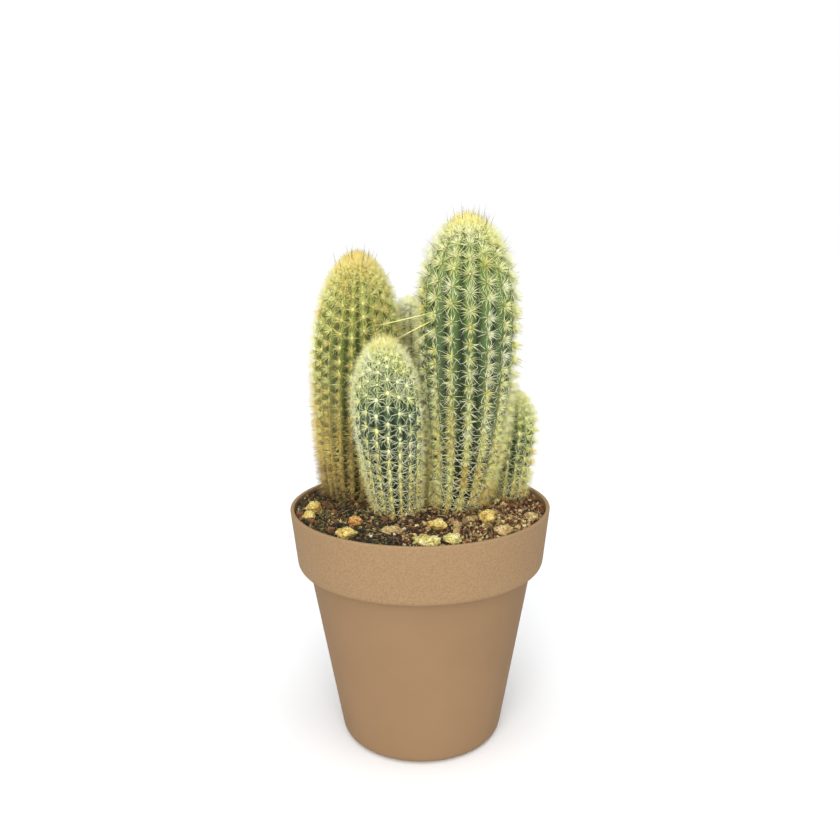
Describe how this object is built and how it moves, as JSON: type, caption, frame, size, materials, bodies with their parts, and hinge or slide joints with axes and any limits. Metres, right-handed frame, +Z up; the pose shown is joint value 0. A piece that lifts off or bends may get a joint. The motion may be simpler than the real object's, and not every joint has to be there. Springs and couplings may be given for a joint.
{
  "type": "potted peruvian old man cactus",
  "caption": "Clump of ribbed, densely spined columnar cactus stems in potting mix with pumice, in a tapered plastic pot with a deep collar.",
  "frame": {"origin": "middle of the ring that the pot stands on, on the pot's axis", "axes": "+Z up along the pot's axis; the front stem stands on the -Y side and the tall stem on the +X side"},
  "size_m": [0.12, 0.12, 0.239],
  "materials": {
    "pot_plastic": "matte",
    "potting_mix": "matte",
    "cactus_skin": "satin",
    "cactus_spines": "satin",
    "pumice": "matte"
  },
  "bodies": {
    "root": {"pot": "pot_plastic", "potting_mix": "potting_mix", "stem_tall": "cactus_skin", "stem_left": "cactus_skin", "stem_front": "cactus_skin", "stem_right": "cactus_skin", "stem_back": "cactus_skin", "pumice_1": "pumice", "pumice_2": "pumice", "pumice_3": "pumice", "pumice_4": "pumice", "pumice_5": "pumice", "pumice_6": "pumice", "pumice_7": "pumice", "pumice_8": "pumice", "pumice_9": "pumice", "pumice_10": "pumice", "pumice_11": "pumice", "pumice_12": "pumice", "pumice_13": "pumice", "pumice_14": "pumice"}
  },
  "joints": []
}
